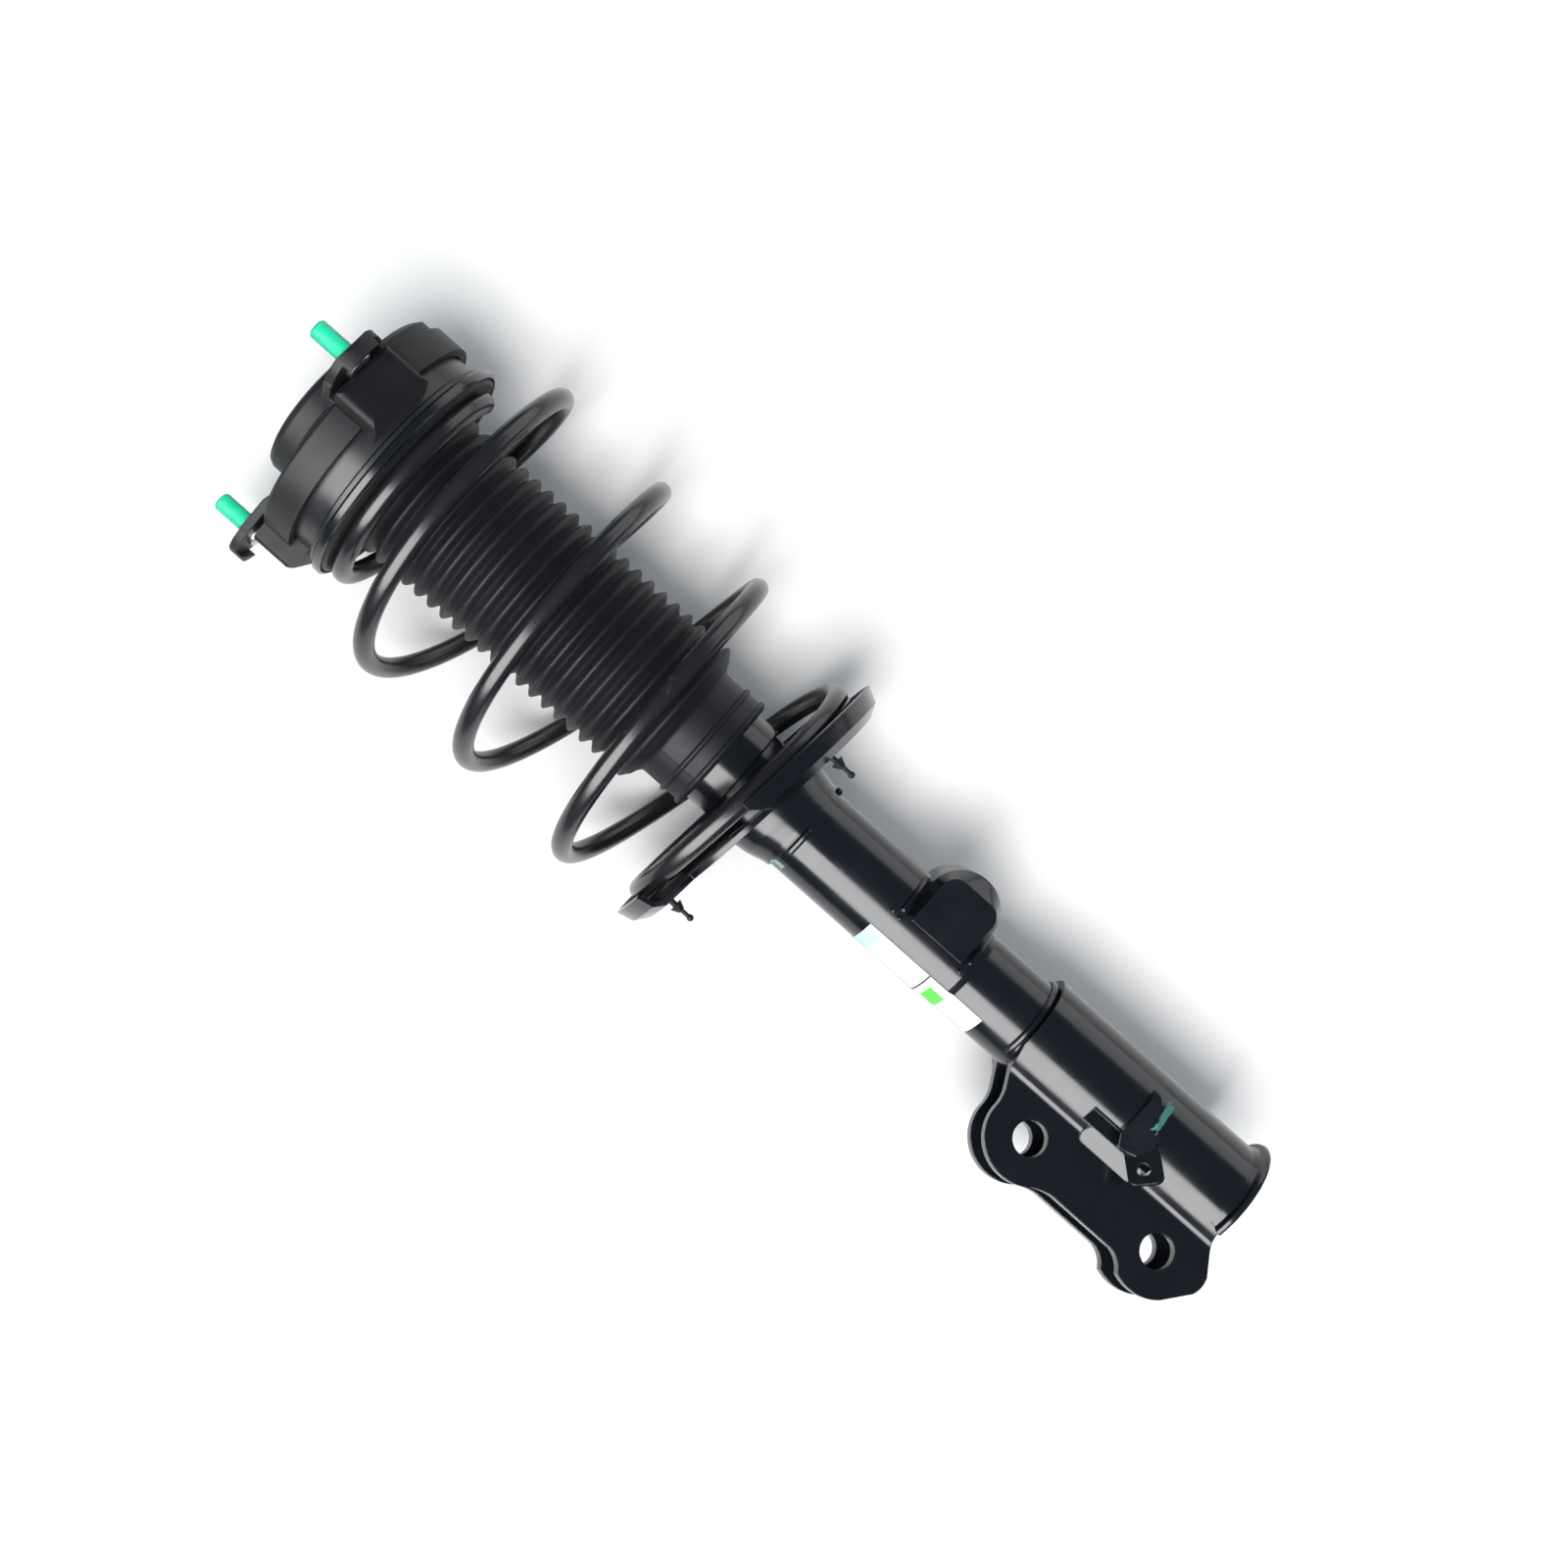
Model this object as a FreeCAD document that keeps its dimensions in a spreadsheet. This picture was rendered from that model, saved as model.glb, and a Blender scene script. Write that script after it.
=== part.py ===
import FreeCAD, Part
import math
import os

import Sketcher
from FreeCAD import Placement, Rotation, Vector

# MacPherson strut assembly, in millimetres. The strut's axis is Z, with the top mount up. The
# origin is the centre of the stud circle, on the face that meets the car's strut tower. Depths
# are distances below that face. The knuckle plates point to -X.

DRIVING = {
    # top mount
    "stud_circle": 144.0,
    "stud_diameter": 10.0,
    "stud_length": 20.0,
    "first_stud_angle": 35.5,
    "ear_reach": 87.5,
    "ear_width": 34.0,
    "ear_sheet": 4.5,
    "mount_wall_radius": 64.0,
    "mount_wall_sheet": 4.5,
    "mount_rim_depth": 8.4,
    "mount_depth": 25.0,
    "mount_bore_radius": 36.0,
    "mount_pad_reach": 71.5,
    "mount_pad_bottom": 33.0,
    "cap_radius": 40.0,
    "cap_height": 11.4,
    "cap_sheet": 1.6,
    # swivel bearing and upper seat
    "bearing_radius": 59.0,
    "bearing_bottom": 36.0,
    "ball_circle_radius": 48.0,
    "ball_radius": 3.0,
    "ball_depth": 33.0,
    "ball_play": 0.3,
    "race_gap": 3.0,
    "ball_count": 24.0,
    "lower_race_radius": 62.0,
    "upper_seat_radius": 64.5,
    "upper_seat_depth": 39.6,
    "isolator_bottom": 46.0,
    # spring
    "wire_radius": 5.2,
    "spring_radius": 78.7,
    "spring_top_radius": 53.0,
    "spring_foot_radius": 66.0,
    "spring_pitch": 66.3,
    "spring_lean": 7.4,
    # dust boot
    "boot_radius": 40.0,
    "boot_fold_depth": 4.5,
    "boot_wall": 1.6,
    "boot_top": 57.0,
    "boot_folds_bottom": 222.0,
    "boot_folds": 20.0,
    "boot_neck_radius": 31.0,
    "boot_bottom": 250.0,
    # damper
    "rod_radius": 10.0,
    "rod_thread_radius": 7.0,
    "tube_radius": 24.0,
    "tube_foot_radius": 22.8,
    "tube_wall": 2.5,
    "tube_top": 232.0,
    "tube_step": 405.0,
    "tube_bottom": 572.0,
    "cylinder_radius": 16.5,
    "cylinder_bore_radius": 15.0,
    "cylinder_bottom": 556.0,
    "tube_cap_radius": 26.7,
    "tube_cap_bottom": 263.0,
    "guide_bottom": 254.0,
    "piston_top": 290.0,
    "piston_length": 22.0,
    "bump_stop_top": 44.0,
    "bump_stop_bottom": 92.0,
    # lower spring seat
    "pan_radius": 82.5,
    "pan_offset": 9.5,
    "pan_tilt": 6.5,
    "pan_rim_depth": 271.5,
    "pan_wall_height": 12.0,
    "pan_sheet": 3.0,
    "pan_collar_bottom": 302.0,
    # knuckle bracket
    "bracket_top": 448.0,
    "bracket_bottom": 577.0,
    "bracket_sheet": 5.2,
    "plate_gap": 18.0,
    "knuckle_hole_diameter": 17.5,
    "knuckle_hole_reach": 43.8,
    "upper_hole_depth": 480.7,
    "lower_hole_depth": 561.7,
    "ear_radius": 22.6,
    "waist_reach": 57.5,
    # stabiliser link bracket
    "link_bracket_depth": 383.5,
    "link_bracket_height": 37.5,
    "link_bracket_reach": 39.4,
    "link_bracket_angle": -13.0,
    "link_bracket_sheet": 4.0,
    "link_hole_diameter": 10.5,
}

doc = FreeCAD.newDocument("strut_assembly")
sheet = doc.addObject("Spreadsheet::Sheet", "Sizes")
for row, (alias, number) in enumerate(DRIVING.items(), start=1):
    sheet.set(f"A{row}", alias)
    sheet.set(f"B{row}", str(number))
    sheet.setAlias(f"B{row}", alias)
doc.recompute()


class Size:
    """A length or an angle that carries its number and the expression that gives it."""

    def __init__(self, text, number):
        self.text = text
        self.number = float(number)

    @staticmethod
    def of(other):
        return other if isinstance(other, Size) else Size(repr(float(other)), other)

    def joined(self, sign, other, number):
        return Size(f"({self.text} {sign} {other.text})", number)

    def __add__(self, other):
        other = Size.of(other)
        return self.joined("+", other, self.number + other.number)

    def __sub__(self, other):
        other = Size.of(other)
        return self.joined("-", other, self.number - other.number)

    def __mul__(self, other):
        other = Size.of(other)
        return self.joined("*", other, self.number * other.number)

    def __truediv__(self, other):
        other = Size.of(other)
        return self.joined("/", other, self.number / other.number)

    def __rsub__(self, other):
        return Size.of(other) - self

    def __neg__(self):
        return 0.0 - self

    __radd__ = __add__
    __rmul__ = __mul__


def size(alias):
    """The sheet's cell of that name, as a Size."""
    return Size(f"Sizes.{alias}", sheet.get(alias))


def value(alias):
    """The sheet's cell of that name, as a plain number."""
    return float(sheet.get(alias))


PARTS = []


def keep(item, name):
    """Marks an object as a finished sub-part, under the name that its file takes."""
    item.Label = name
    PARTS.append(item)
    return item


# Parametric building blocks


def origin_plane(body, role):
    return next(item for item in body.Origin.OriginFeatures if item.Role == role)


def outline_sketch(body, corners, role):
    """A closed sketch with straight sides, every corner bound to the sheet."""
    sketch = body.newObject("Sketcher::SketchObject", body.Name + "_outline")
    sketch.AttachmentSupport = (origin_plane(body, role), [""])
    sketch.MapMode = "FlatFace"
    corners = [(Size.of(across), Size.of(up)) for across, up in corners]
    points = [Vector(across.number, up.number, 0) for across, up in corners]
    count = len(points)
    for index in range(count):
        sketch.addGeometry(Part.LineSegment(points[index], points[(index + 1) % count]))
    for index in range(count):
        sketch.addConstraint(Sketcher.Constraint("Coincident", index, 2, (index + 1) % count, 1))
    for index, corner in enumerate(corners):
        for kind, length in zip(("DistanceX", "DistanceY"), corner):
            rule = Sketcher.Constraint(kind, -1, 1, index, 1, length.number)
            number = sketch.addConstraint(rule)
            sketch.setExpression(f"Constraints[{number}]", length.text)
    return sketch


def turned(name, corners):
    """A body turned about Z from its outline of radius and height."""
    body = doc.addObject("PartDesign::Body", name)
    feature = body.newObject("PartDesign::Revolution", name + "_turned")
    feature.Profile = outline_sketch(body, corners, "XZ_Plane")
    feature.ReferenceAxis = (feature.Profile[0], ["V_Axis"])
    feature.Angle = 360.0
    return body


def ring(inner, outer, top, bottom):
    """The outline of a plain ring between two radii and two depths."""
    return [(inner, -bottom), (outer, -bottom), (outer, -top), (inner, -top)]


def bind(item, **properties):
    """Binds each property to a Size; dots in a property's path are written as __."""
    for path, length in properties.items():
        item.setExpression(path.replace("__", "."), Size.of(length).text)
    return item


def cylinder(name, radius, height, x=0.0, y=0.0, z=0.0):
    item = doc.addObject("Part::Cylinder", name)
    return bind(
        item,
        Radius=radius,
        Height=height,
        Placement__Base__x=x,
        Placement__Base__y=y,
        Placement__Base__z=z,
    )


def cut(name, base, *tools):
    """The base less every tool, one after another."""
    for index, tool in enumerate(tools):
        last = doc.addObject("Part::Cut", name if index == len(tools) - 1 else f"{name}_cut{index}")
        last.Base = base
        last.Tool = tool
        base = last
    return base


def shaped(name, shape, placement=None):
    """A feature whose shape comes from Part's own functions."""
    item = doc.addObject("Part::Feature", name)
    item.Shape = shape
    if placement:
        item.Placement = placement
    return item


def polar(radius, degrees, height=0.0):
    angle = math.radians(degrees)
    return Vector(radius * math.cos(angle), radius * math.sin(angle), height)


def closed_wire(points):
    return Part.makePolygon(list(points) + [points[0]])


def prism(points, direction):
    """A solid swept from a flat closed outline."""
    return Part.Face(closed_wire(points)).extrude(direction)


def lathe(corners, sweep=360.0):
    """A solid turned about Z from corners of radius and height."""
    outline = closed_wire([Vector(across, 0, up) for across, up in corners])
    return Part.Face(outline).revolve(Vector(), Vector(0, 0, 1), sweep)


def about_axis(shape, degrees):
    """A copy of the shape turned about Z."""
    copy = shape.copy()
    copy.rotate(Vector(), Vector(0, 0, 1), degrees)
    return copy


def fillet_where(shape, radius, test):
    """Rounds the shape's edges whose middle passes the test."""
    edges = [edge for edge in shape.Edges if test(edge.valueAt(sum(edge.ParameterRange) / 2))]
    return shape.makeFillet(radius, edges)


STUD_ANGLES = [value("first_stud_angle") + 120.0 * index for index in range(3)]

# Top mount


def mount_housing():
    """A dished ring with a bore, a broken skirt, three stud ears and a shoulder beside one."""
    wall_radius = value("mount_wall_radius")
    wall_sheet = value("mount_wall_sheet")
    rim = -value("mount_rim_depth")
    bottom = -value("mount_depth")
    bore = value("mount_bore_radius")
    sheet_thickness = value("ear_sheet")
    reach = value("ear_reach")
    half_width = value("ear_width") / 2
    collar_radius = bore + sheet_thickness
    dish = lathe(
        [
            (bore, -2.0),
            (value("cap_radius") + 2.0, -2.0),
            (wall_radius - 1.5, rim + 0.4),
            (wall_radius, rim - 1.2),
            (wall_radius, bottom),
            (wall_radius - wall_sheet, bottom),
            (wall_radius - wall_sheet, rim - sheet_thickness),
            (collar_radius, -2.0 - sheet_thickness),
            (collar_radius, bottom + 3.0),
            (bore, bottom + 3.0),
        ]
    )

    tip_radius = half_width - 1.0
    tip_centre = reach - tip_radius
    root = value("cap_radius") + 4.0
    plan = Part.makeBox(tip_centre - root, 2 * half_width, 60, Vector(root, -half_width, -40))
    plan = plan.fuse(Part.makeCylinder(tip_radius, 60, Vector(tip_centre, 0, -40)))
    lip = 3.5
    side = [
        Vector(root, -50, -10.0),
        Vector(root, -50, -3.0),
        Vector(root + 9.0, -50, 0),
        Vector(reach - 3.0, -50, 0),
        Vector(reach - 0.8, -50, -1.0),
        Vector(reach, -50, -3.2),
        Vector(reach, -50, -8.5),
        Vector(reach - lip, -50, -8.5),
        Vector(reach - lip, -50, -sheet_thickness),
        Vector(wall_radius - 6.0, -50, -sheet_thickness),
        Vector(wall_radius - 6.0, -50, -10.0),
    ]
    ear = plan.common(prism(side, Vector(0, 100, 0)))

    shoulder = [
        (root, -10.0),
        (wall_radius - 0.6, -10.0),
        (wall_radius - 0.6, -4.0),
        (wall_radius - 4.0, -0.9),
        (wall_radius - 11.0, 0.0),
        (root, -1.2),
    ]
    shoulder_sweep = 52.0
    housing = dish.fuse(about_axis(lathe(shoulder, shoulder_sweep), STUD_ANGLES[2]))
    for angle in STUD_ANGLES:
        housing = housing.fuse(about_axis(ear, angle))
    inside = Part.makeCylinder(wall_radius - wall_sheet, 60, Vector(0, 0, rim - sheet_thickness - 60))
    inside = inside.cut(Part.makeCylinder(collar_radius, 80, Vector(0, 0, -75)))
    housing = housing.cut(inside)
    break_width = 2 * half_width + 2.0
    break_side = [
        Vector(wall_radius - 10.0, -break_width / 2, bottom - 1.0),
        Vector(wall_radius + 15.0, -break_width / 2, bottom - 1.0),
        Vector(wall_radius + 15.0, -break_width / 2, -sheet_thickness),
        Vector(wall_radius - wall_sheet - 0.5, -break_width / 2, -sheet_thickness),
        Vector(wall_radius - wall_sheet - 0.5, -break_width / 2, -13.4),
        Vector(wall_radius - 10.0, -break_width / 2, -13.4),
    ]
    skirt_break = prism(break_side, Vector(0, break_width, 0))
    for angle in STUD_ANGLES:
        housing = housing.cut(about_axis(skirt_break, angle))
        place = polar(value("stud_circle") / 2, angle, -20)
        housing = housing.cut(Part.makeCylinder(stud_shoulder_radius(), 40, place))
    return shaped("mount_housing", housing.removeSplitter())


def stud_shoulder_radius():
    """The pressed-in shoulder under each stud's thread."""
    return value("stud_diameter") / 2 + 0.5


def mount_pads():
    """The rubber block in each break of the skirt, against the bearing under the ear."""
    reach = value("mount_pad_reach")
    bottom = -value("mount_pad_bottom")
    half_width = value("ear_width") / 2 + 0.8
    back = value("bearing_radius") + 0.02
    side = [
        Vector(back - 6.0, -half_width, -14.0),
        Vector(back + 0.4, -half_width, -14.0),
        Vector(back + 0.4, -half_width, -8.0),
        Vector(reach - 1.2, -half_width, -8.0),
        Vector(reach, -half_width, -9.6),
        Vector(reach, -half_width, bottom + 4.0),
        Vector(reach - 3.0, -half_width, bottom),
        Vector(back - 6.0, -half_width, bottom),
    ]
    pad = prism(side, Vector(0, 2 * half_width, 0))
    pad = fillet_where(
        pad,
        4.0,
        lambda middle: abs(abs(middle.y) - half_width) < 0.1 and abs(middle.x - reach) < 0.1,
    )
    pad = pad.cut(Part.makeCylinder(back, 60, Vector(0, 0, bottom - 20)))
    return shaped("mount_pads", Part.Compound([about_axis(pad, angle) for angle in STUD_ANGLES]))


def mount_studs():
    """Three studs pressed into the ears, each with a shoulder and a head under the sheet."""
    radius = value("stud_diameter") / 2
    length = value("stud_length")
    under = value("ear_sheet")
    studs = []
    for angle in STUD_ANGLES:
        place = polar(value("stud_circle") / 2, angle)
        shank = Part.makeCylinder(radius, length + under, place - Vector(0, 0, under))
        shank = fillet_where(shank, 1.2, lambda middle: middle.z > length - 0.1)
        shoulder = Part.makeCylinder(stud_shoulder_radius(), under, place - Vector(0, 0, under))
        head = Part.makeCylinder(radius + 2.0, 3.0, place - Vector(0, 0, under + 3.0))
        studs.append(shank.fuse(shoulder).fuse(head).removeSplitter())
    return shaped("mount_studs", Part.Compound(studs))


def mount_centre():
    """The bonded rubber, the rod's clamping sleeve, its washer, its nut and the cover cap."""
    bore = size("mount_bore_radius")
    sleeve = size("rod_thread_radius") + 6.5
    keep(
        turned(
            "mount_rubber",
            [
                (sleeve, -size("mount_depth") + 2.0),
                (bore - 8.0, -size("mount_depth") + 1.0),
                (bore, -size("mount_depth") + 5.0),
                (bore, Size.of(-4.0)),
                (bore - 6.0, Size.of(-2.5)),
                (bore - 12.0, Size.of(-8.0)),
                (sleeve, Size.of(-8.0)),
            ],
        ),
        "mount_rubber",
    )
    sleeve_outline = ring(size("rod_thread_radius"), sleeve, 6.0, size("mount_depth"))
    keep(turned("mount_sleeve", sleeve_outline), "mount_sleeve")
    keep(turned("rod_washer", ring(size("rod_thread_radius"), 17.0, 3.5, 6.0)), "rod_washer")
    nut = doc.addObject("Part::Prism", "nut_hexagon")
    bind(nut, Circumradius=size("rod_thread_radius") * 1.81, Height=9.5, Placement__Base__z=-3.5)
    bore_hole = cylinder("nut_bore", size("rod_thread_radius"), 20.0, z=-8.0)
    keep(cut("rod_nut", nut, bore_hole), "rod_nut")
    top = size("cap_height")
    radius = size("cap_radius")
    thickness = size("cap_sheet")
    keep(
        turned(
            "mount_cap",
            [
                (radius - thickness, Size.of(-2.0)),
                (radius, Size.of(-2.0)),
                (radius, top - 4.0),
                (radius - 1.2, top - 1.4),
                (radius - 4.0, top),
                (Size.of(0.0), top),
                (Size.of(0.0), top - thickness),
                (radius - 4.4, top - thickness),
                (radius - thickness, top - 4.6),
            ],
        ),
        "mount_cap",
    )


# Swivel bearing and upper spring seat


def race_groove(name):
    groove = doc.addObject("Part::Torus", name)
    return bind(
        groove,
        Radius1=size("ball_circle_radius"),
        Radius2=size("ball_radius") + size("ball_play"),
        Placement__Base__z=-size("ball_depth"),
    )


def bearing():
    """Two races with a ring of balls, which lets the spring turn under the mount."""
    ball_depth = size("ball_depth")
    half_gap = size("race_gap") / 2
    outer = size("bearing_radius")
    inner = size("rod_radius") + 32.0
    upper = turned(
        "upper_race_blank",
        [
            (inner, -(ball_depth - half_gap)),
            (outer - 3.8, -(ball_depth - half_gap)),
            (outer - 3.8, -size("bearing_bottom")),
            (outer, -size("bearing_bottom")),
            (outer, Size.of(-14.0)),
            (inner, Size.of(-14.0)),
        ],
    )
    keep(cut("upper_bearing_race", upper, race_groove("upper_groove")), "upper_bearing_race")
    lower = turned(
        "lower_race_blank",
        [
            (inner, -size("upper_seat_depth")),
            (size("lower_race_radius"), -size("upper_seat_depth")),
            (size("lower_race_radius"), -(size("bearing_bottom") + 1.0)),
            (outer - 4.3, -(size("bearing_bottom") + 1.0)),
            (outer - 4.3, -(ball_depth + half_gap)),
            (inner, -(ball_depth + half_gap)),
        ],
    )
    keep(cut("lower_bearing_race", lower, race_groove("lower_groove")), "lower_bearing_race")
    count = int(value("ball_count"))
    balls = [
        Part.makeSphere(
            value("ball_radius"),
            polar(value("ball_circle_radius"), 360.0 * index / count, -value("ball_depth")),
        )
        for index in range(count)
    ]
    keep(shaped("bearing_balls", Part.Compound(balls)), "bearing_balls")
    keep(shaped("ball_cage", ball_cage(count)), "ball_cage")


def ball_cage(count):
    """The thin ring that spaces the balls."""
    radius = value("ball_circle_radius")
    height = value("race_gap") - 1.2
    base = Vector(0, 0, -value("ball_depth") - height / 2)
    cage = Part.makeCylinder(radius + 4.2, height, base)
    cage = cage.cut(Part.makeCylinder(radius - 4.2, height, base))
    for index in range(count):
        place = polar(radius, 360.0 * index / count, -value("ball_depth"))
        cage = cage.cut(Part.makeSphere(value("ball_radius") + 0.06, place))
    return cage


def upper_seat():
    """The pressed steel seat and the rubber isolator that the spring's top turn bears on."""
    top = size("upper_seat_depth")
    collar = size("boot_radius") - 2.0
    rim = size("upper_seat_radius")
    keep(
        turned(
            "upper_spring_seat",
            [
                (collar, -top),
                (rim - 1.0, -top),
                (rim, -(top + 1.0)),
                (rim, -(top + 4.0)),
                (rim - 1.5, -(top + 5.0)),
                (rim - 2.2, -(top + 3.5)),
                (rim - 4.0, -(top + 2.5)),
                (collar + 1.6, -(top + 2.5)),
                (collar + 1.6, -(top + 11.0)),
                (collar, -(top + 11.0)),
            ],
        ),
        "upper_spring_seat",
    )
    floor = size("isolator_bottom")
    keep(
        turned(
            "upper_isolator",
            [
                (size("boot_radius") + 2.6, -(top + 2.6)),
                (rim - 4.0, -(top + 2.6)),
                (rim - 2.4, -(top + 3.8)),
                (rim - 2.8, -(floor - 1.4)),
                (rim - 4.6, -floor),
                (size("boot_radius") + 2.6, -floor),
            ],
        ),
        "upper_isolator",
    )


# Spring

TURNS = 5.15
TOP_TURN = 4.2
NEAR_ANGLE = 257.0
HIGH_SIDE_ANGLE = 204.4


def smooth(low, high, position):
    """Rises from 0 to 1 between two positions with no corner."""
    share = min(1.0, max(0.0, (position - low) / (high - low)))
    return share * share * (3.0 - 2.0 * share)


def spring_point(turn):
    """The wire's centre, where turn 0 is at the foot's near side and each turn adds one."""
    wire = value("wire_radius")
    foot = value("spring_foot_radius")
    body = value("spring_radius")
    radius = foot + (body - foot) * smooth(0.0, 0.9, turn)
    radius -= (body - value("spring_top_radius")) * smooth(3.2, 3.9, turn)
    shift = value("pan_offset") * (1.0 - smooth(0.0, 3.6, turn))
    place = polar(radius, NEAR_ANGLE + 360.0 * turn)
    lean = math.tan(math.radians(value("spring_lean"))) * (1.0 - smooth(3.2, 3.9, turn))
    lean *= place.dot(polar(1.0, HIGH_SIDE_ANGLE))
    top_height = -(value("isolator_bottom") + wire + 0.1)
    free_height = top_height - value("spring_pitch") * climb_left(turn) + lean
    lying_height = spring_foot_height() - math.tan(math.radians(value("pan_tilt"))) * place.x
    lifted = smooth(-0.1, 0.4, turn)
    height = lying_height + (free_height - lying_height) * lifted
    return Vector(place.x - shift, place.y, height)


def climb_left(turn):
    """The turns' worth of climb from here to the top, where the pitch fades away."""
    steps = 200
    width = (TOP_TURN - turn) / steps

    def slope(position):
        opening = smooth(-0.35, 0.25, position) * (0.89 + 0.11 * smooth(0.5, 1.2, position))
        return opening * (1.0 - smooth(3.0, 4.0, position))

    return sum(slope(turn + (index + 0.5) * width) for index in range(steps)) * width


def spring_foot_height():
    """The height of the foot's wire, lying on the lower pad."""
    return -(value("pan_rim_depth") + value("pan_wall_height")) + 13.2


def coil_spring():
    """The wire swept along its turns, with cut ends."""
    per_turn = 24
    count = int(TURNS * per_turn)
    start = TOP_TURN - TURNS
    points = [spring_point(start + TURNS * index / count) for index in range(count + 1)]
    path = Part.BSplineCurve()
    path.interpolate(points)
    path_wire = Part.Wire([path.toShape()])
    direction = path.tangent(path.FirstParameter)[0]
    section = Part.Wire([Part.makeCircle(value("wire_radius"), points[0], direction)])
    coil = path_wire.makePipeShell([section], True, True)
    return shaped("coil_spring", coil)


# Dust boot and bump stop


def dust_boot():
    """A rubber bellows with a cuff on the seat's collar and a neck on the tube's cap."""
    radius = value("boot_radius")
    wall = value("boot_wall")
    depth = value("boot_fold_depth")
    top = value("boot_top")
    folds = int(value("boot_folds"))
    pitch = (value("boot_folds_bottom") - top) / folds
    neck = value("boot_neck_radius")
    bottom = value("boot_bottom")
    cuff = radius - 2.0 + 1.7
    outside = [(cuff + wall, -(value("upper_seat_depth") + 4.0)), (cuff + wall, -top + 3.0)]
    for index in range(folds):
        start = -top - index * pitch
        outside.append((radius - depth, start))
        outside.append((radius - 0.7, start - 0.42 * pitch))
        outside.append((radius - 0.7, start - 0.58 * pitch))
    foot = -value("boot_folds_bottom")
    outside += [(radius - depth, foot), (neck + 2.6, foot - 1.6), (neck, foot - 3.2)]
    outside += [(neck, foot - 14.6), (neck + 1.7, foot - 16.4), (neck, foot - 18.4)]
    outside += [(neck, foot - 24.0), (neck + 1.7, foot - 26.0), (neck, -bottom)]
    inside = [(value("tube_cap_radius") + 0.4, -bottom), (value("tube_cap_radius") + 0.4, foot - 15.0)]
    inside += [(neck - 2.0, foot - 13.0), (neck - 2.0, foot - 3.4), (radius - depth - wall, foot + 0.4)]
    for index in reversed(range(folds)):
        start = -top - index * pitch
        inside.append((radius - 0.7 - wall, start - 0.56 * pitch))
        inside.append((radius - 0.7 - wall, start - 0.44 * pitch))
        inside.append((radius - depth - wall, start + 0.06 * pitch))
    inside += [(cuff, -top + 3.4), (cuff, -(value("upper_seat_depth") + 4.0))]
    return shaped("dust_boot", lathe(outside + inside))


def bump_stop():
    """The foam stop on the rod and the steel cup that holds it under the mount."""
    top = size("bump_stop_top")
    bottom = size("bump_stop_bottom")
    length = bottom - top
    rod = size("rod_radius")
    keep(
        turned(
            "bump_stop",
            [
                (rod, -bottom + 1.0),
                (rod + 4.0, -bottom),
                (rod + 8.0, -bottom + 2.0),
                (rod + 9.0, -bottom + length * 0.16),
                (rod + 6.0, -bottom + length * 0.28),
                (rod + 10.5, -bottom + length * 0.42),
                (rod + 11.5, -bottom + length * 0.55),
                (rod + 8.0, -bottom + length * 0.66),
                (rod + 13.0, -bottom + length * 0.8),
                (rod + 13.0, -top),
                (rod, -top),
            ],
        ),
        "bump_stop",
    )
    cup = rod + 13.0
    keep(
        turned(
            "bump_stop_cup",
            [
                (rod, -top),
                (cup + 0.1, -top),
                (cup + 0.1, -top - 8.0),
                (cup + 1.7, -top - 8.0),
                (cup + 1.7, -top + 1.6),
                (rod + 3.0, -top + 1.6),
                (rod + 3.0, -size("mount_depth")),
                (rod, -size("mount_depth")),
            ],
        ),
        "bump_stop_cup",
    )


# Damper


def piston_rod():
    thread = size("rod_thread_radius")
    rod = size("rod_radius")
    foot = rod - 4.0
    top = size("piston_top")
    end = top + size("piston_length") + 12.0
    zero = Size.of(0.0)
    return turned(
        "piston_rod",
        [
            (zero, -end),
            (foot - 1.0, -end),
            (foot, -end + 1.0),
            (foot, -top),
            (rod, -top),
            (rod, -size("mount_depth")),
            (thread, -size("mount_depth")),
            (thread, Size.of(7.0)),
            (thread - 1.0, Size.of(8.0)),
            (zero, Size.of(8.0)),
        ],
    )


def piston_set():
    """The piston with its band and nut, and the rebound stop above it."""
    foot = size("rod_radius") - 4.0
    bore = size("cylinder_bore_radius")
    top = size("piston_top")
    bottom = top + size("piston_length")
    groove = bore - 1.4
    body = bore - 0.4
    keep(
        turned(
            "piston",
            [
                (foot, -bottom),
                (body, -bottom),
                (body, -bottom + 5.0),
                (groove, -bottom + 5.0),
                (groove, -bottom + 15.0),
                (body, -bottom + 15.0),
                (body, -top),
                (foot, -top),
            ],
        ),
        "piston",
    )
    keep(turned("piston_band", ring(groove, bore - 0.05, bottom - 15.0, bottom - 5.0)), "piston_band")
    nut = doc.addObject("Part::Prism", "piston_nut_hexagon")
    bind(nut, Circumradius=foot * 1.75, Height=7.0, Placement__Base__z=-(bottom + 7.0))
    bore_hole = cylinder("piston_nut_bore", foot, 20.0, z=-(bottom + 12.0))
    keep(cut("piston_nut", nut, bore_hole), "piston_nut")
    guide = size("guide_bottom")
    keep(
        turned("rebound_stop", ring(size("rod_radius"), bore - 1.2, guide + 0.5, guide + 11.0)),
        "rebound_stop",
    )
    keep(
        turned("rebound_ring", ring(size("rod_radius"), bore - 2.2, guide + 11.0, guide + 14.0)),
        "rebound_ring",
    )


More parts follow.
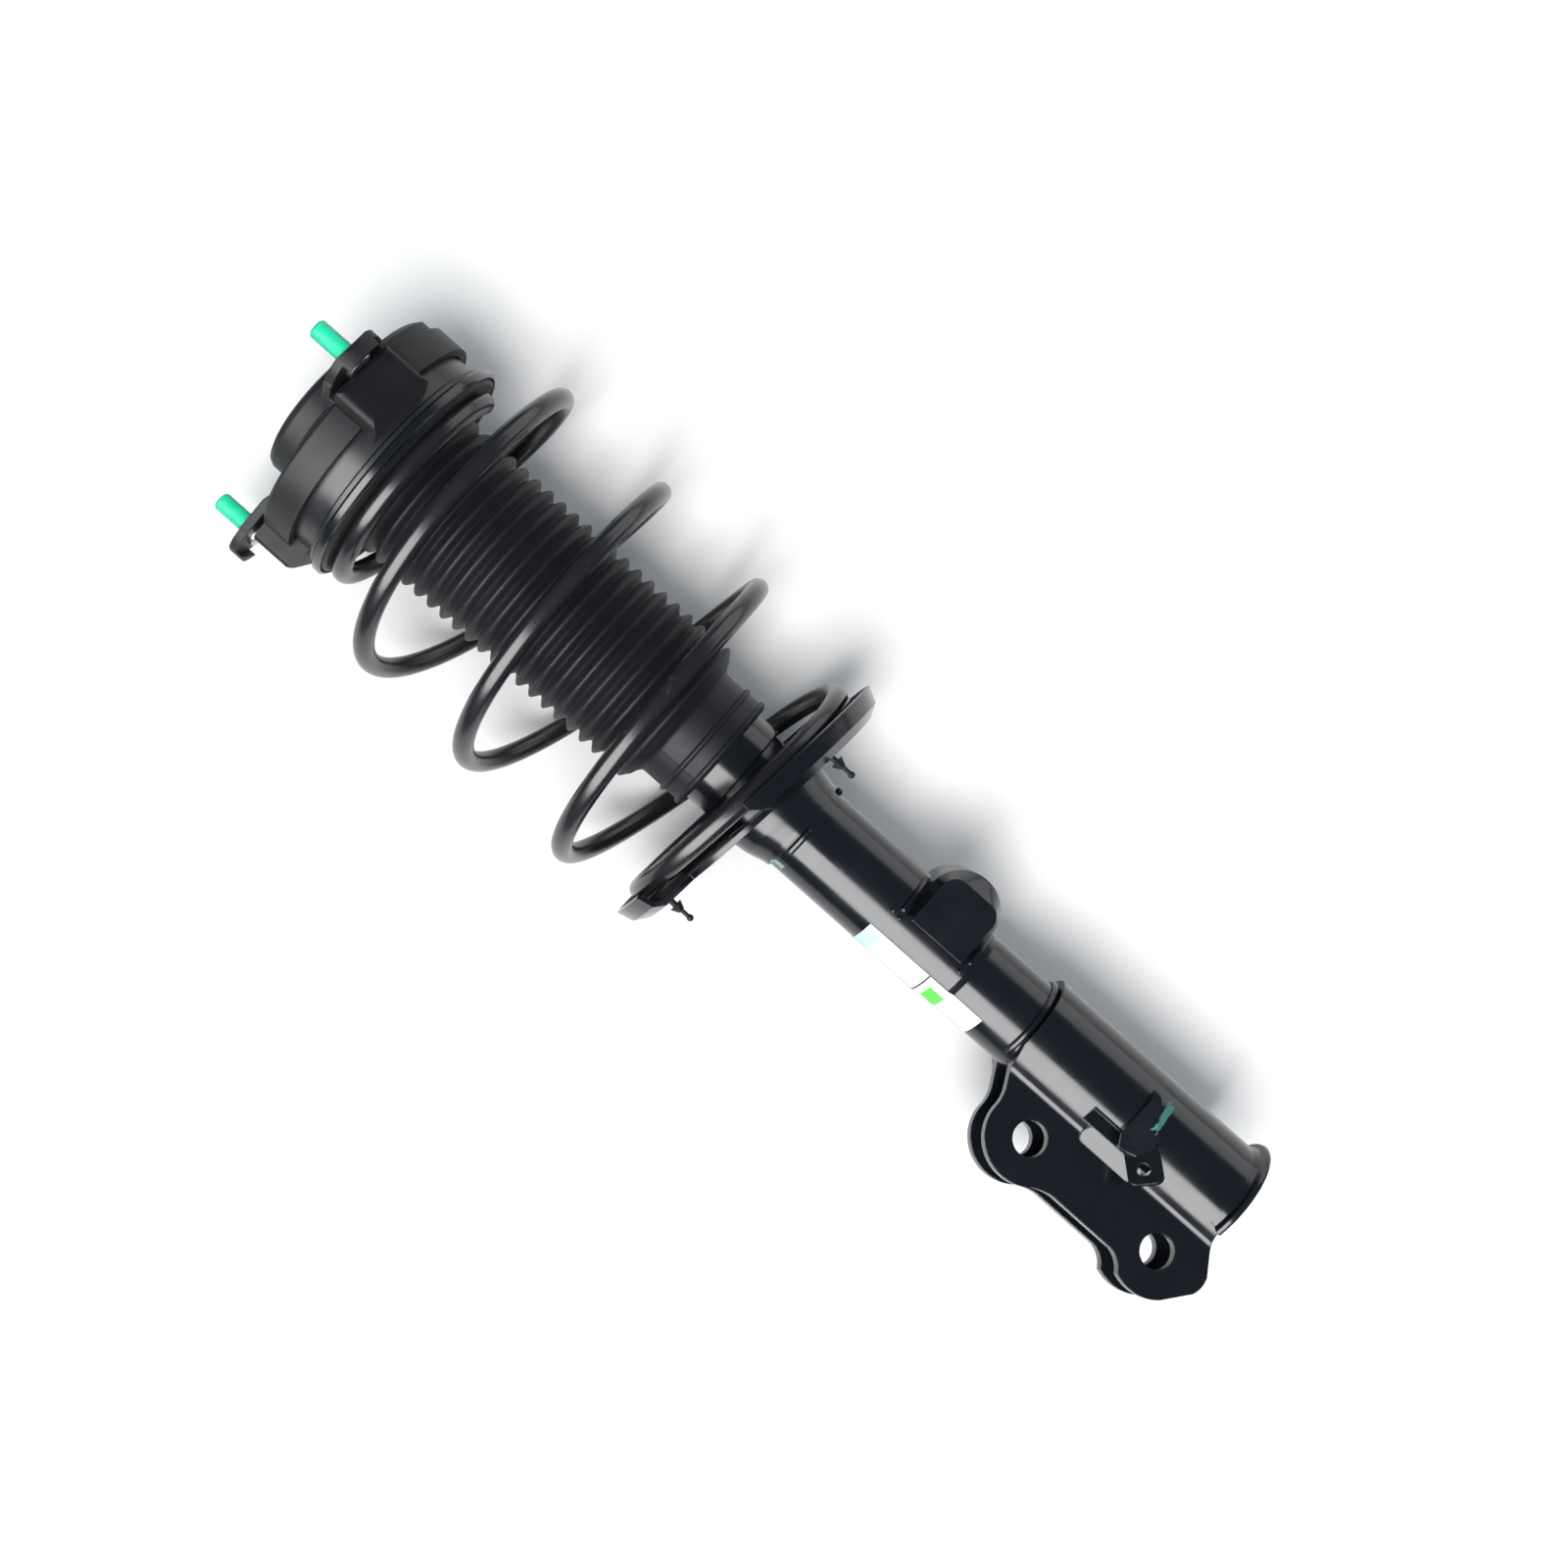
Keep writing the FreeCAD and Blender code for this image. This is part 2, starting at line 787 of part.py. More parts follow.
def rod_guide_set():
    """The oil seal, the guide that closes the tube and the bush that the rod slides in."""
    bore = size("tube_radius") - size("tube_wall")
    top = size("tube_top") + 0.4
    rod = size("rod_radius")
    guide = size("guide_bottom")
    bush = rod + 1.5
    keep(turned("rod_seal", ring(rod + 0.06, bore, top, top + 4.0)), "rod_seal")
    keep(
        turned(
            "rod_guide",
            [
                (bush, -guide),
                (size("cylinder_bore_radius"), -guide),
                (size("cylinder_bore_radius"), -guide + 4.0),
                (bore, -guide + 4.0),
                (bore, -(top + 4.0)),
                (bush, -(top + 4.0)),
            ],
        ),
        "rod_guide",
    )
    keep(turned("guide_bush", ring(rod + 0.05, bush, top + 4.0, guide)), "guide_bush")


def damper_tube():
    """The outer tube, its cap and foot, the inner cylinder and the foot valve."""
    radius = size("tube_radius")
    foot = size("tube_foot_radius")
    wall = size("tube_wall")
    top = size("tube_top")
    step = size("tube_step")
    bottom = size("tube_bottom")
    keep(
        turned(
            "outer_tube",
            [
                (foot - wall, -bottom),
                (foot, -bottom),
                (foot, -(step + 4.0)),
                (radius, -step),
                (radius, -top),
                (radius - wall, -top),
                (radius - wall, -step),
                (foot - wall, -(step + 4.0)),
            ],
        ),
        "outer_tube",
    )
    cap = size("tube_cap_radius")
    cap_bottom = size("tube_cap_bottom")
    rod = size("rod_radius")
    keep(
        turned(
            "tube_cap",
            [
                (radius, -cap_bottom),
                (cap - 0.8, -cap_bottom),
                (cap, -cap_bottom + 0.8),
                (cap, -top + 1.0),
                (cap - 2.0, -top + 3.0),
                (rod + 2.5, -top + 3.0),
                (rod + 2.5, -top),
                (radius, -top),
            ],
        ),
        "tube_cap",
    )
    outer = size("cylinder_radius")
    inner = size("cylinder_bore_radius")
    end = size("cylinder_bottom")
    keep(
        turned("inner_cylinder", ring(inner, outer, size("guide_bottom") - 4.0, end)),
        "inner_cylinder",
    )
    zero = Size.of(0.0)
    keep(
        turned(
            "foot_valve",
            [
                (zero, -(end + 9.0)),
                (outer, -(end + 9.0)),
                (outer, -end),
                (inner, -end),
                (inner, -end + 4.0),
                (zero, -end + 4.0),
            ],
        ),
        "foot_valve",
    )
    keep(
        turned(
            "tube_foot_cap",
            [
                (zero, -bottom),
                (foot - wall, -bottom),
                (foot - wall, -bottom + 4.0),
                (outer, -bottom + 7.0),
                (zero, -bottom + 7.0),
            ],
        ),
        "tube_foot_cap",
    )


# Lower spring seat


def pan_placement():
    """The tilted frame of the lower seat, whose zero height is the middle of its rim."""
    tilt = Rotation(Vector(0, 1, 0), value("pan_tilt"))
    return Placement(Vector(-value("pan_offset"), 0, -value("pan_rim_depth")), tilt)


def lower_spring_seat():
    """A tilted pressed pan, deeper on the side away from the knuckle, on a collar."""
    radius = value("pan_radius")
    wall = value("pan_sheet")
    depth = value("pan_wall_height")
    tube = value("tube_radius")
    bowl = [
        (0, -depth),
        (radius - 10, -depth),
        (radius - 3, -depth + 4.0),
        (radius - 0.6, -1.5),
        (radius, 0),
        (radius - 2.0, 0.6),
        (radius - wall, -1.0),
        (radius - 3 - wall, -depth + 5.4),
        (radius - 11, -depth + wall),
        (0, -depth + wall),
    ]
    pan = lathe(bowl)
    pan.Placement = pan_placement()
    collar_top = -(value("pan_rim_depth") - 2.0)
    foot = -value("pan_collar_bottom")
    neck = [
        (tube, collar_top),
        (tube + wall, collar_top),
        (tube + wall + 1.6, foot + 18.0),
        (tube + wall + 1.0, foot + 12.0),
        (tube + 1.6, foot + 3.0),
        (tube + 1.2, foot),
        (tube, foot),
    ]
    seat = pan.cut(pan_opening()).fuse(lathe(neck))
    seat = seat.cut(Part.makeCylinder(tube, 80, Vector(0, 0, foot - 18.0)))
    for place in nipple_places():
        seat = seat.cut(Part.makeCylinder(1.6, 60, place - Vector(0, 0, 40)))
    return shaped("lower_spring_seat", seat.removeSplitter())


def pan_opening():
    """The sector of the pan's wall and floor that is left out, with a slanted right end."""
    inner = 52.0
    side = [
        Vector(-100, 0, 20),
        Vector(-1.5, 0, 20),
        Vector(-1.5, 0, -3),
        Vector(13.0, 0, -16),
        Vector(-100, 0, -16),
    ]
    opening = about_axis(prism(side, Vector(0, -100, 0)), -13.0)
    sector = Part.makeCylinder(100, 60, Vector(0, 0, -30), Vector(0, 0, 1), 90.0)
    opening = opening.common(about_axis(sector, 202.0))
    opening = opening.cut(Part.makeCylinder(inner, 60, Vector(0, 0, -30)))
    opening.Placement = pan_placement()
    return opening


def nipple_places():
    """Where the pad's two nipples pass down through the pan, on the pan's floor."""
    frame = pan_placement()
    floor = -value("pan_wall_height") + value("pan_sheet")
    return [
        frame.multVec(polar(66.0, 196.0, floor)),
        frame.multVec(polar(66.0, 298.0, floor)),
    ]


def lower_pad():
    """The rubber pad under the spring's foot, with two pull-through nipples."""
    floor = -value("pan_wall_height") + value("pan_sheet") + 0.05
    inner = value("spring_foot_radius") - 12.0
    outer = value("spring_foot_radius") + 5.5
    outline = [
        (inner, floor),
        (outer, floor),
        (outer + 0.5, floor + 3.2),
        (outer - 3.0, floor + 3.2),
        (inner, floor + 3.2),
    ]
    pad = lathe(outline)
    pad.Placement = pan_placement()
    pad = pad.cut(pan_opening())
    for place in nipple_places():
        stem = Part.makeCylinder(1.5, 7.0, place - Vector(0, 0, 6.0))
        bulb = Part.makeCone(1.6, 3.4, 4.0, place - Vector(0, 0, 10.0))
        tail = Part.makeCylinder(1.1, 6.0, place - Vector(0, 0, 15.0))
        drop = Part.makeSphere(1.7, place - Vector(0, 0, 15.2))
        for piece in (stem, bulb, tail, drop):
            pad = pad.fuse(piece)
    return shaped("lower_pad", pad.removeSplitter())


# Knuckle bracket


def plate_outline():
    """The side outline of the bracket, from the sleeve's top round both knuckle ears."""
    top = -value("bracket_top")
    bottom = -value("bracket_bottom")
    reach = value("knuckle_hole_reach")
    ear = value("ear_radius")
    waist = value("waist_reach")
    upper = -value("upper_hole_depth")
    lower = -value("lower_hole_depth")
    far = 45.0

    def at(x, z):
        return Vector(x, 0, z)

    def rim(centre, degrees):
        return at(-reach + ear * math.cos(math.radians(degrees)),
                  centre + ear * math.sin(math.radians(degrees)))

    edges = []
    place = at(far, top)

    def line(target):
        nonlocal place
        edges.append(Part.makeLine(place, target))
        place = target

    def arc(middle, target):
        nonlocal place
        edges.append(Part.Arc(place, middle, target).toShape())
        place = target

    line(at(-13.0, top))
    line(at(-21.0, top - 2.6))
    line(at(-32.5, top - 8.4))
    arc(at(-36.0, top - 9.6), rim(upper, 88.0))
    arc(rim(upper, 150.0), rim(upper, 212.0))
    arc(at(-waist - 1.7, upper - 18.6), at(-waist, upper - 25.5))
    line(at(-waist, lower + 18.5))
    arc(at(-waist - 1.3, lower + 14.6), rim(lower, 158.0))
    arc(rim(lower, 190.0), rim(lower, 222.0))
    line(at(-reach - 4.0, lower - ear - 3.4))
    arc(at(-reach + 1.6, lower - ear - 4.9), at(-reach + 6.6, lower - ear - 4.2))
    line(at(-24.0, bottom - 3.4))
    arc(at(-20.0, bottom - 0.9), at(-14.0, bottom))
    line(at(far, bottom))
    line(at(far, top))
    return Part.Wire(edges)


def knuckle_bracket():
    """A folded sleeve round the tube's foot, with two parallel plates for the knuckle."""
    inner = value("tube_foot_radius") + 0.1
    outer = inner + value("bracket_sheet")
    gap = value("plate_gap")
    sheet_thickness = value("bracket_sheet")
    half = gap / 2 + sheet_thickness
    top = -value("bracket_top") + 5
    height = 160.0
    base = top - height

    sleeve = Part.makeCylinder(outer, height, Vector(0, 0, base))
    plates = Part.makeBox(60, 2 * half, height, Vector(-78, -half, base))
    body = sleeve.fuse(plates).removeSplitter()
    bend = math.sqrt(outer**2 - half**2)
    body = fillet_where(
        body,
        5.0,
        lambda middle: abs(middle.x + bend) < 0.2 and abs(abs(middle.y) - half) < 0.2,
    )
    body = body.cut(Part.makeCylinder(inner, height + 2, Vector(0, 0, base - 1)))
    body = body.cut(Part.makeBox(80, gap, height + 2, Vector(-80, -gap / 2, base - 1)))

    side = Part.Face(plate_outline()).extrude(Vector(0, 80, 0))
    side.translate(Vector(0, -40, 0))
    body = body.common(side)

    hole = value("knuckle_hole_diameter") / 2
    for depth in (value("upper_hole_depth"), value("lower_hole_depth")):
        place = Vector(-value("knuckle_hole_reach"), -40, -depth)
        body = body.cut(Part.makeCylinder(hole, 80, place, Vector(0, 1, 0)))
    for mirror in (-1, 1):
        body = body.cut(bend_facet(mirror))
        body = body.fuse(stiffening_dart(half, mirror))
    body = body.fuse(foot_flare(outer))
    return shaped("knuckle_bracket", body.removeSplitter())


def stiffening_dart(half, mirror):
    """The slanted round-ended rib pressed across each bend, from the plate to the sleeve."""
    left = -28.4
    right = -19.9
    radius = (right - left) / 2
    length = 35.0
    middle = -515.1
    low = middle - length / 2 + radius
    rib = Part.makeBox(2 * radius, 20, length - 2 * radius, Vector(left, -32, low))
    for height in (low, low + length - 2 * radius):
        rib = rib.fuse(Part.makeCylinder(radius, 20, Vector(left + radius, -32, height), Vector(0, 1, 0)))
    plan = [
        Vector(left, -half, -600),
        Vector(right, -half - 5.4, -600),
        Vector(right, -half + 1.2, -600),
        Vector(left, -half + 1.2, -600),
    ]
    rib = rib.removeSplitter().common(prism(plan, Vector(0, 0, 200)))
    if mirror > 0:
        rib = rib.mirror(Vector(), Vector(0, 1, 0))
    return rib


def bend_facet(mirror):
    """The flat pressed across the bend beside the dart."""
    facet = Part.makeBox(8.5, 12, 40, Vector(-21.5, -31.4, -533.0))
    if mirror > 0:
        facet = facet.mirror(Vector(), Vector(0, 1, 0))
    return facet


def foot_flare(outer):
    """The lip turned out round the sleeve's foot."""
    bottom = -value("bracket_bottom")
    lip = [
        (outer - 2.0, bottom),
        (outer + 4.6, bottom),
        (outer + 5.2, bottom + 1.2),
        (outer + 4.6, bottom + 2.6),
        (outer + 1.6, bottom + 3.6),
        (outer, bottom + 6.4),
        (outer - 2.0, bottom + 6.4),
    ]
    sweep = 256.0
    return about_axis(lathe(lip, sweep), -sweep / 2)


# Small brackets, welds and labels


def link_bracket_shell(inset):
    """The drawn cup of the stabiliser bracket, shrunk all round by an inset."""
    middle = -value("link_bracket_depth")
    half = value("link_bracket_height") / 2 - inset
    reach = value("link_bracket_reach") - inset
    front = -31.5 + inset
    back = 13.0
    rear_radius = half - 0.5
    front_radius = 7.5

    def face_wire(y, x_end, half_height, corner):
        left = 1.0 + inset
        low = middle - half_height
        high = middle + half_height
        inner = x_end - corner
        bend = corner * math.sqrt(0.5)
        edges = [
            Part.makeLine(Vector(left, y, low), Vector(inner, y, low)),
            Part.Arc(
                Vector(inner, y, low),
                Vector(inner + bend, y, low + corner - bend),
                Vector(x_end, y, low + corner),
            ).toShape(),
            Part.makeLine(Vector(x_end, y, low + corner), Vector(x_end, y, high - corner)),
            Part.Arc(
                Vector(x_end, y, high - corner),
                Vector(inner + bend, y, high - corner + bend),
                Vector(inner, y, high),
            ).toShape(),
            Part.makeLine(Vector(inner, y, high), Vector(left, y, high)),
            Part.makeLine(Vector(left, y, high), Vector(left, y, low)),
        ]
        return Part.Wire(edges)

    near = face_wire(front, reach - 8.0, half - 3.4, front_radius)
    rear = face_wire(front + 9.0, reach, half, rear_radius)
    taper = Part.makeLoft([near, rear], True, True)
    straight = Part.Face(rear).extrude(Vector(0, back - (front + 9.0), 0))
    return taper.fuse(straight).removeSplitter()


def link_bracket():
    """A drawn steel cup welded to the tube, with the stabiliser link's hole in its end."""
    shell = link_bracket_shell(0.0).cut(link_bracket_shell(value("link_bracket_sheet")))
    middle = -value("link_bracket_depth")
    tube = Part.makeCylinder(value("tube_radius"), 80, Vector(0, 0, middle - 40))
    shell = shell.cut(tube)
    shell = shell.cut(Part.makeBox(60, 20, 29, Vector(-10, 10, middle - 14.5)))
    hole = value("link_hole_diameter") / 2
    shell = shell.cut(Part.makeCylinder(hole, 30, Vector(20, -5, middle), Vector(1, 0, 0)))
    solids = sorted(shell.Solids, key=lambda solid: solid.Volume)
    return shaped("link_bracket", about_axis(solids[-1], value("link_bracket_angle")))


def hose_bracket():
    """A small flat-faced bracket for the brake hose on the sleeve, with a hanging tab."""
    sleeve = value("tube_foot_radius") + 0.1 + value("bracket_sheet") + 0.05
    thickness = 2.5
    outline = [
        Vector(-14.7, -14, -513.0),
        Vector(-9.0, -14, -509.2),
        Vector(17.4, -14, -510.0),
        Vector(16.4, -14, -513.0),
        Vector(-4.5, -14, -527.5),
        Vector(-10.5, -14, -527.5),
    ]
    face = prism(outline, Vector(0, -(sleeve + thickness - 14), 0))
    face = face.cut(Part.makeCylinder(sleeve, 60, Vector(0, 0, -550)))
    face = about_axis(face, value("link_bracket_angle"))
    across = Vector(0.698, -0.359, -0.619)
    down = Vector(-0.719, -0.449, -0.530)
    facing = Rotation(across, down, Vector(), "XYZ")
    width = 17.0
    length = 15.0
    tab = Part.makeBox(width, length + 3.0, thickness, Vector(-width / 2, -3.0, -thickness / 2))
    tab = fillet_where(
        tab,
        4.0,
        lambda middle: middle.y > length - 0.1 and abs(middle.z) < 0.1,
    )
    hole = Part.makeCylinder(3.2, 10, Vector(-0.5, length * 0.52, -5))
    tab = tab.cut(hole)
    tab.Placement = Placement(Vector(-16.2, -26.9, -524.2), facing)
    tab = tab.cut(Part.makeCylinder(sleeve, 60, Vector(0, 0, -550)))
    return shaped("hose_bracket", face.fuse(tab).removeSplitter())


def bead(radius, height, start, sweep, bead_radius):
    """A rounded weld bead lying on the tube along part of a turn."""
    centre = Vector(0, 0, height)
    torus = Part.makeTorus(radius, bead_radius, centre, Vector(0, 0, 1), -180, 180, sweep)
    torus = about_axis(torus, start)
    for end in (start, start + sweep):
        torus = torus.fuse(Part.makeSphere(bead_radius, polar(radius, end, height)))
    return torus.removeSplitter()


def weld_beads():
    """Beads along the small bracket's edges, the sleeve's mouth and the seat's collar."""
    tube = value("tube_radius")
    foot = value("tube_foot_radius")
    middle = value("link_bracket_depth")
    half = value("link_bracket_height") / 2
    step = value("tube_step")
    outside = lathe(
        [
            (tube + 0.02, -middle + 150),
            (tube + 10, -middle + 150),
            (tube + 10, -step - 100),
            (foot + 0.02, -step - 100),
            (foot + 0.02, -step - 4),
            (tube + 0.02, -step),
        ]
    )
    beads = [
        bead(tube + 0.4, -(middle - half - 1.9), 263.0, 52.0, 1.7),
        bead(tube + 0.4, -(middle + half + 1.3), 267.0, 48.0, 1.2),
        bead(foot + 0.6, -(value("bracket_top") - 1.9), 218.0, 284.0, 1.7),
    ]
    for start, sweep in ((226.0, 30.0), (340.0, 40.0), (100.0, 40.0)):
        beads.append(bead(tube + 0.6, -(value("pan_collar_bottom") + 2.2), start, sweep, 1.8))
    solids = []
    for item in beads:
        solids += item.common(outside).Solids
    spatter = 1.3
    for angle, depth in ((254.0, 359.4), (252.0, 364.0), (252.0, 402.4)):
        solids.append(Part.makeSphere(spatter, polar(tube + spatter + 0.02, angle, -depth)))
    return shaped("weld_beads", Part.Compound(solids))


def labels():
    """Two plain stickers wrapped one under the other on the tube."""
    tube = value("tube_radius") + 0.04
    foot = value("tube_foot_radius") + 0.04
    step = -value("tube_step")
    thickness = 0.25
    sweep = 66.0
    start = 158.0
    upper = [(tube, -356.0), (tube, -393.6)]
    lower = [(tube, -394.4), (tube, step), (foot, step - 4.0), (foot, -427.0)]
    stickers = []
    for inner in (upper, lower):
        outer = [(radius + thickness, height) for radius, height in reversed(inner)]
        stickers.append(about_axis(lathe(inner + outer, sweep), start))
    return shaped("labels", Part.Compound(stickers))


def build():
    keep(mount_housing(), "mount_housing")
    keep(mount_studs(), "mount_studs")
    keep(mount_pads(), "mount_pads")
    mount_centre()
    bearing()
    upper_seat()
    keep(coil_spring(), "coil_spring")
    keep(dust_boot(), "dust_boot")
    bump_stop()
    keep(piston_rod(), "piston_rod")
    piston_set()
    rod_guide_set()
    damper_tube()
    keep(lower_spring_seat(), "lower_spring_seat")
    keep(lower_pad(), "lower_pad")
    keep(knuckle_bracket(), "knuckle_bracket")
    keep(link_bracket(), "link_bracket")
    keep(hose_bracket(), "hose_bracket")
    keep(weld_beads(), "weld_beads")
    keep(labels(), "labels")


def check():
    """Stops on any object that failed to recompute and any empty or broken shape."""
    for item in doc.Objects:
        if "Invalid" in item.State or "Error" in item.State:
            raise RuntimeError(f"{item.Label} did not recompute: {item.State}")
    for item in PARTS:
        if item.Shape.isNull() or not item.Shape.isValid() or item.Shape.Volume <= 0:
            raise RuntimeError(f"{item.Label} has no valid solid")


build()
doc.recompute()
check()
os.makedirs("parts", exist_ok=True)
for item in PARTS:
    item.Shape.exportStep(f"parts/{item.Label}.step")
    print(item.Label, len(item.Shape.Solids), round(item.Shape.Volume))
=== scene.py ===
import math

import bpy
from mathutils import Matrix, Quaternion, Vector


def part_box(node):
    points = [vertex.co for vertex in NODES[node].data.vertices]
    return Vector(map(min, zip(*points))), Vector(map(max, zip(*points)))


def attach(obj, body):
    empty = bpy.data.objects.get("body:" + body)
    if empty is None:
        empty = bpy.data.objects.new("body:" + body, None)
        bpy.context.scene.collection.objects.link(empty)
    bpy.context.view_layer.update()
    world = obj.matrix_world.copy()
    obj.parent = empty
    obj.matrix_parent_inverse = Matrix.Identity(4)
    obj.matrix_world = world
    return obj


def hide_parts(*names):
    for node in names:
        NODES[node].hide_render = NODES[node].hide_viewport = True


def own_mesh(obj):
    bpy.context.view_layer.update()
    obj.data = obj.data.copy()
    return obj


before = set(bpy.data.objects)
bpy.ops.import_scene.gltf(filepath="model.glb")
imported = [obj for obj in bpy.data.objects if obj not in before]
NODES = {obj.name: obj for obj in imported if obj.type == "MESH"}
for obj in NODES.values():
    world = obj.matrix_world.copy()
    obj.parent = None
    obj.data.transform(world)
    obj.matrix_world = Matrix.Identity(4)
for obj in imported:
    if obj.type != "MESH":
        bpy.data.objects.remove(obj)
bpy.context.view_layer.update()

# Looks for the MacPherson strut. Everything is in metres in the frame's own axes: the strut's
# axis is Z, the mount is up and the knuckle plates point to -X.

MM = 0.001

SWING = math.radians(13.0)  # how far the camera stands to the -X side of -Y
VIEW_RIGHT = Vector((math.cos(SWING), -math.sin(SWING), 0.0))
VIEW_BACK = Vector((-math.sin(SWING), -math.cos(SWING), 0.0))
MIDDLE = Vector((0.0, 0.0, -0.28))  # of the strut, where the lights aim
LABEL_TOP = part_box("labels")[1].z


# Mesh helpers


def new_piece(name, vertices, faces, material, sharp_degrees=35.0):
    """A smooth-shaded mesh object that keeps its hard corners."""
    mesh = bpy.data.meshes.new(name)
    mesh.from_pydata([tuple(vertex) for vertex in vertices], [], faces)
    mesh.validate()
    mesh.shade_smooth()
    mesh.set_sharp_from_angle(angle=math.radians(sharp_degrees))
    mesh.materials.append(material)
    item = bpy.data.objects.new(name, mesh)
    bpy.context.scene.collection.objects.link(item)
    return item


def stitched(rings, closed):
    """Quads between neighbouring rings of equal count; closed joins the last ring to the first."""
    count = len(rings[0])
    faces = []
    last = len(rings) if closed else len(rings) - 1
    for row in range(last):
        below = row * count
        above = (row + 1) % len(rings) * count
        for column in range(count):
            beside = (column + 1) % count
            faces.append((below + column, below + beside, above + beside, above + column))
    return faces


def capped(rows):
    """The vertices of the rows, and the quads between them with both ends closed."""
    vertices = [vertex for row in rows for vertex in row]
    faces = stitched(rows, closed=False)
    around = len(rows[0])
    faces.append(tuple(reversed(range(around))))
    start = (len(rows) - 1) * around
    faces.append(tuple(range(start, start + around)))
    return vertices, faces


def smooth(low, high, position):
    """Rises from 0 to 1 between two positions with no corner."""
    share = min(1.0, max(0.0, (position - low) / (high - low)))
    return share * share * (3.0 - 2.0 * share)


# Materials


class Finish:
    """A material in the making: its shader, and short calls for the nodes that feed it."""

    def __init__(self, name, **sockets):
        self.material = bpy.data.materials.new(name + "_finish")
        self.material.use_nodes = True
        self.tree = self.material.node_tree
        self.shader = self.tree.nodes["Principled BSDF"]
        for socket, setting in sockets.items():
            self.shader.inputs[socket.replace("_", " ")].default_value = setting

    def node(self, kind, inputs=None, **settings):
        made = self.tree.nodes.new("ShaderNode" + kind)
        for name, setting in settings.items():
            setattr(made, name, setting)
        for socket, source in (inputs or {}).items():
            if isinstance(source, bpy.types.NodeSocket):
                self.tree.links.new(source, made.inputs[socket])
            else:
                made.inputs[socket].default_value = source
        return made

    def feed(self, socket, source):
        self.tree.links.new(source, self.shader.inputs[socket])

    def place(self):
        return self.node("TexCoord").outputs["Object"]

    def noise(self, scale, detail=3.0, roughness=0.55, stretch=None):
        where = self.place()
        if stretch:
            where = self.node("Mapping", {"Vector": where, "Scale": stretch}).outputs[0]
        settings = {"Vector": where, "Scale": scale, "Detail": detail, "Roughness": roughness}
        return self.node("TexNoise", settings).outputs["Fac"]

    def spread(self, source, low, high, to_low=0.0, to_high=1.0):
        """The source's range from low to high, mapped to another range and clamped."""
        settings = {0: source, 1: low, 2: high, 3: to_low, 4: to_high}
        return self.node("MapRange", settings).outputs[0]

    def math(self, operation, first, second=0.0):
        return self.node("Math", {0: first, 1: second}, operation=operation).outputs[0]

    def blend(self, share, first, second):
        mix = self.node("Mix", {0: share, 6: first, 7: second}, data_type="RGBA")
        return mix.outputs[2]

    def rounded_normal(self, radius):
        return self.node("Bevel", {"Radius": radius}, samples=4).outputs[0]

    def edges(self, rounded):
        """1 along corners that the bevel rounds, 0 on open faces."""
        flat = self.node("NewGeometry").outputs["Normal"]
        dot = self.node("VectorMath", {0: rounded, 1: flat}, operation="DOT_PRODUCT")
        return self.spread(dot.outputs["Value"], 0.995, 0.85)

    def bumps(self, height, depth, normal=None, strength=1.0):
        settings = {"Height": height, "Distance": depth, "Strength": strength}
        if normal is not None:
            settings["Normal"] = normal
        return self.node("Bump", settings).outputs[0]


def colour(red, green, blue):
    return (red, green, blue, 1.0)


def glossy_black(name, mark=None):
    """Dipped black paint: slightly blue, orange-peeled, with dust specks and thin edges."""
    finish = Finish(name, Metallic=0.0, IOR=1.5)
    corners = finish.rounded_normal(0.9 * MM)
    edge = finish.edges(corners)
    cloud = finish.noise(38.0, detail=4.0)
    specks = finish.spread(finish.noise(900.0, detail=1.0), 0.72, 0.80)
    base = finish.blend(cloud, colour(0.0028, 0.0038, 0.006), colour(0.0060, 0.0072, 0.0105))
    base = finish.blend(finish.math("MULTIPLY", edge, 0.5), base, colour(0.03, 0.032, 0.036))
    base = finish.blend(finish.math("MULTIPLY", specks, 0.08), base, colour(0.05, 0.05, 0.052))
    rough = finish.spread(cloud, 0.3, 0.7, 0.14, 0.24)
    rough = finish.math("ADD", rough, finish.math("MULTIPLY", specks, 0.08))
    if mark:
        painted, paint = mark(finish)
        base = finish.blend(painted, base, paint)
        rough = finish.math("ADD", rough, finish.math("MULTIPLY", painted, 0.3))
    finish.feed("Base Color", base)
    finish.feed("Roughness", rough)
    peel = finish.bumps(finish.noise(260.0, detail=2.0), 0.05 * MM, corners, 0.35)
    finish.feed("Normal", finish.bumps(finish.noise(1800.0, detail=1.0), 0.01 * MM, peel, 0.3))
    return finish.material


def around_axis(finish):
    """The angle about Z in radians and the height, from the object's own coordinates."""
    parts = finish.node("SeparateXYZ", {0: finish.place()}).outputs
    angle = finish.math("ARCTAN2", parts[1], parts[0])
    return angle, parts[2]


def brush_mark(height, thickness, from_degrees, to_degrees, paint):
    """A ragged stroke of marking paint round part of the axis; returns a function of a finish."""
    middle = math.radians((from_degrees + to_degrees) / 2)
    half = math.radians(to_degrees - from_degrees) / 2

    def mask(finish):
        angle, z = around_axis(finish)
        ragged = finish.spread(finish.noise(500.0, detail=3.0), 0.3, 0.7, -0.6, 0.6)
        off_angle = finish.math("ABSOLUTE", finish.math("SUBTRACT", angle, middle))
        along = finish.math("DIVIDE", off_angle, half)
        off_height = finish.math("ABSOLUTE", finish.math("SUBTRACT", z, height))
        across = finish.math("DIVIDE", off_height, thickness / 2)
        reach = finish.math("MAXIMUM", along, across)
        reach = finish.math("ADD", reach, finish.math("MULTIPLY", ragged, 0.45))
        return finish.spread(reach, 1.05, 0.85), paint

    return mask


